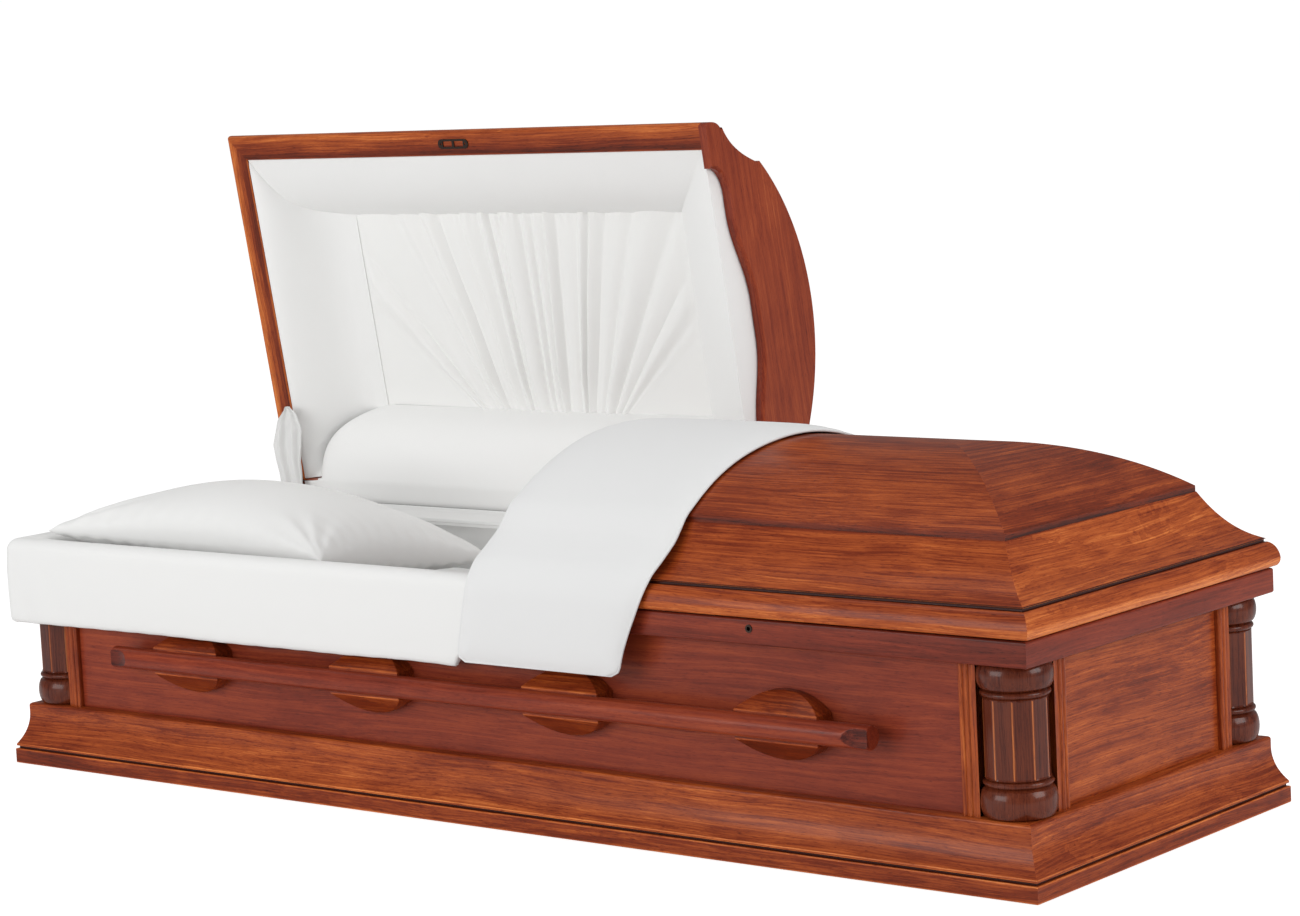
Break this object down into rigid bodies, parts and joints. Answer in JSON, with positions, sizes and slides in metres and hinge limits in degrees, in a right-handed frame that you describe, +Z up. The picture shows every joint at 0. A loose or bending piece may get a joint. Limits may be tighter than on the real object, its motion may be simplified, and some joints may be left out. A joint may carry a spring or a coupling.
{
  "type": "funeral casket",
  "caption": "Half-couch wooden funeral casket with hinged head and foot lids, padded white lining, pillow, bar handles and turned corner columns.",
  "frame": {"origin": "centre of the underside of the plinth", "axes": "+X to the foot end along the length, -Y to the front where the lids open, +Z up"},
  "size_m": [2.11, 0.8866, 1.0554],
  "materials": {
    "wood": "gloss",
    "wood_dark": "gloss",
    "wood_plain": "matte",
    "lining": "satin",
    "metal": "satin"
  },
  "bodies": {
    "casket": {"plinth": "wood", "base_front": "wood", "base_back": "wood", "base_head": "wood", "base_foot": "wood", "panel_front": "wood", "panel_back": "wood", "panel_head": "wood", "panel_foot": "wood", "rail_front": "wood", "rail_back": "wood", "rail_head": "wood", "rail_foot": "wood", "post_fh": "wood", "post_ff": "wood", "post_bh": "wood", "post_bf": "wood", "column_fh": "wood_dark", "column_ff": "wood_dark", "column_bh": "wood_dark", "column_bf": "wood_dark", "block_f1": "wood", "block_f2": "wood", "block_f3": "wood", "block_f4": "wood", "block_b1": "wood", "block_b2": "wood", "block_b3": "wood", "block_b4": "wood", "bar_front": "wood", "bar_back": "wood", "key_socket": "metal", "bed_deck": "wood_plain", "mattress": "lining", "pillow": "lining", "body_lining": "lining", "extend_front": "lining", "extend_head": "lining", "hinge_flap": "lining", "hinge_head_body": "metal", "hinge_foot_body": "metal"},
    "head_lid": {"head_mould_front": "wood", "head_mould_back": "wood", "head_mould_end": "wood", "head_crown": "wood", "head_header": "wood", "keeper": "metal", "head_puff": "lining", "head_fan": "lining", "hinge_head_lid": "metal"},
    "foot_lid": {"foot_mould_front": "wood", "foot_mould_back": "wood", "foot_mould_end": "wood", "foot_crown": "wood", "foot_header": "wood", "foot_lining": "lining", "throw": "lining", "hinge_foot_lid": "metal"}
  },
  "joints": [
    {"name": "head_lid", "type": "hinge", "parent": "casket", "child": "head_lid", "pos_m": [0, 0.351, 0.3625], "axis": [1, 0, 0], "range_deg": [0, 81], "deforming": ["extend_front", "extend_head", "hinge_flap", "pillow", "throw"]},
    {"name": "foot_lid", "type": "hinge", "parent": "casket", "child": "foot_lid", "pos_m": [0, 0.351, 0.3625], "axis": [-1, 0, 0], "range_deg": [0, 81]}
  ]
}
